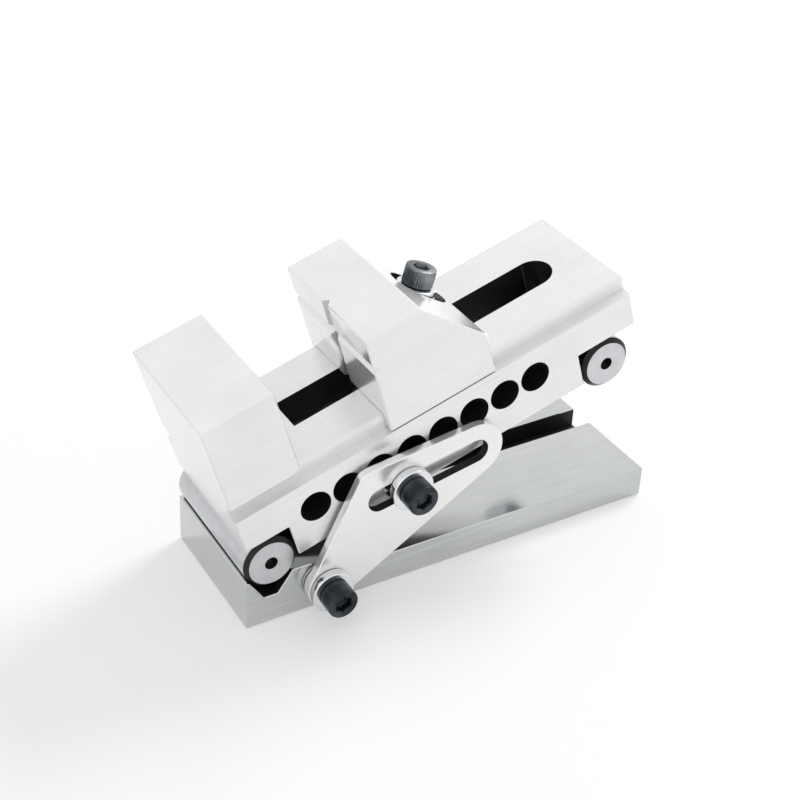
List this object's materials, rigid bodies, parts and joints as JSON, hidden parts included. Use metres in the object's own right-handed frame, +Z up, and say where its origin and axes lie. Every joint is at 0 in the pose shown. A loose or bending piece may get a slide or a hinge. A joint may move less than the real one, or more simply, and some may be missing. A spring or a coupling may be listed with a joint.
{
  "type": "sine vise",
  "caption": "Screwless precision vise on two rollers, hinged on a sine base and held by a slotted brace; the jaw slides on a rail and a leaning socket screw clamps it.",
  "frame": {"origin": "centre of the sine base's underside, on the ground", "axes": "+X along the base from the hinge end to the free end, +Z up, so the brace strap is on the -Y side"},
  "size_m": [0.1662, 0.0634, 0.0994],
  "materials": {
    "ground_steel": "hardened tool steel, fine ground",
    "ground_base_steel": "hardened tool steel, fine ground",
    "lapped_roller_steel": "hardened steel, ground and lapped round",
    "bright_turned_steel": "bright turned steel",
    "black_oxide_steel": "black oxide on alloy steel"
  },
  "bodies": {
    "base": {"sine_base": "ground_base_steel", "pivot_spacer": "bright_turned_steel", "pivot_washer": "bright_turned_steel", "pivot_screw": "black_oxide_steel"},
    "vise": {"vise_body": "ground_steel", "hinge_roller": "lapped_roller_steel", "sine_roller": "lapped_roller_steel", "hinge_roller_screw_near": "black_oxide_steel", "hinge_roller_screw_far": "black_oxide_steel", "sine_roller_screw_near": "black_oxide_steel", "sine_roller_screw_far": "black_oxide_steel"},
    "jaw": {"moving_jaw": "ground_steel", "clamp_seat": "bright_turned_steel", "clamp_washer": "bright_turned_steel", "pull_bar": "lapped_roller_steel"},
    "jaw_screw": {"clamp_screw": "black_oxide_steel"},
    "brace": {"brace_strap": "ground_steel"},
    "brace_lock": {"lock_screw": "black_oxide_steel", "lock_washer": "bright_turned_steel", "lock_spacer": "bright_turned_steel"}
  },
  "joints": [
    {"name": "sine_tilt", "type": "hinge", "parent": "base", "child": "vise", "pos_m": [-0.0675, 0, 0.0228], "axis": [0, -1, 0], "range_deg": [-18.3, 42.9]},
    {"name": "jaw_slide", "type": "slide", "parent": "vise", "child": "jaw", "axis": [0.9559, 0, 0.2935], "range_m": [-0.0307, 0.0467]},
    {"name": "jaw_screw_turn", "type": "hinge", "parent": "jaw", "child": "jaw_screw", "pos_m": [-0.00462, 0, 0.09212], "axis": [0.2593, 0, 0.9658], "continuous": true},
    {"name": "brace_pivot", "type": "hinge", "parent": "base", "child": "brace", "pos_m": [-0.0492, 0, 0.0095], "axis": [0, -1, 0], "range_deg": [-23.2, 54.2]},
    {"name": "brace_lock_slide", "type": "slide", "parent": "brace", "child": "brace_lock", "axis": [0.9799, 0, 0.1994], "range_m": [-0.0083, 0.0193]}
  ],
  "couplings": [
    {"joint": "brace_pivot", "follows": "sine_tilt", "ratio": 1.26},
    {"joint": "brace_lock_slide", "follows": "sine_tilt", "m_per_rad": 0.0255}
  ]
}
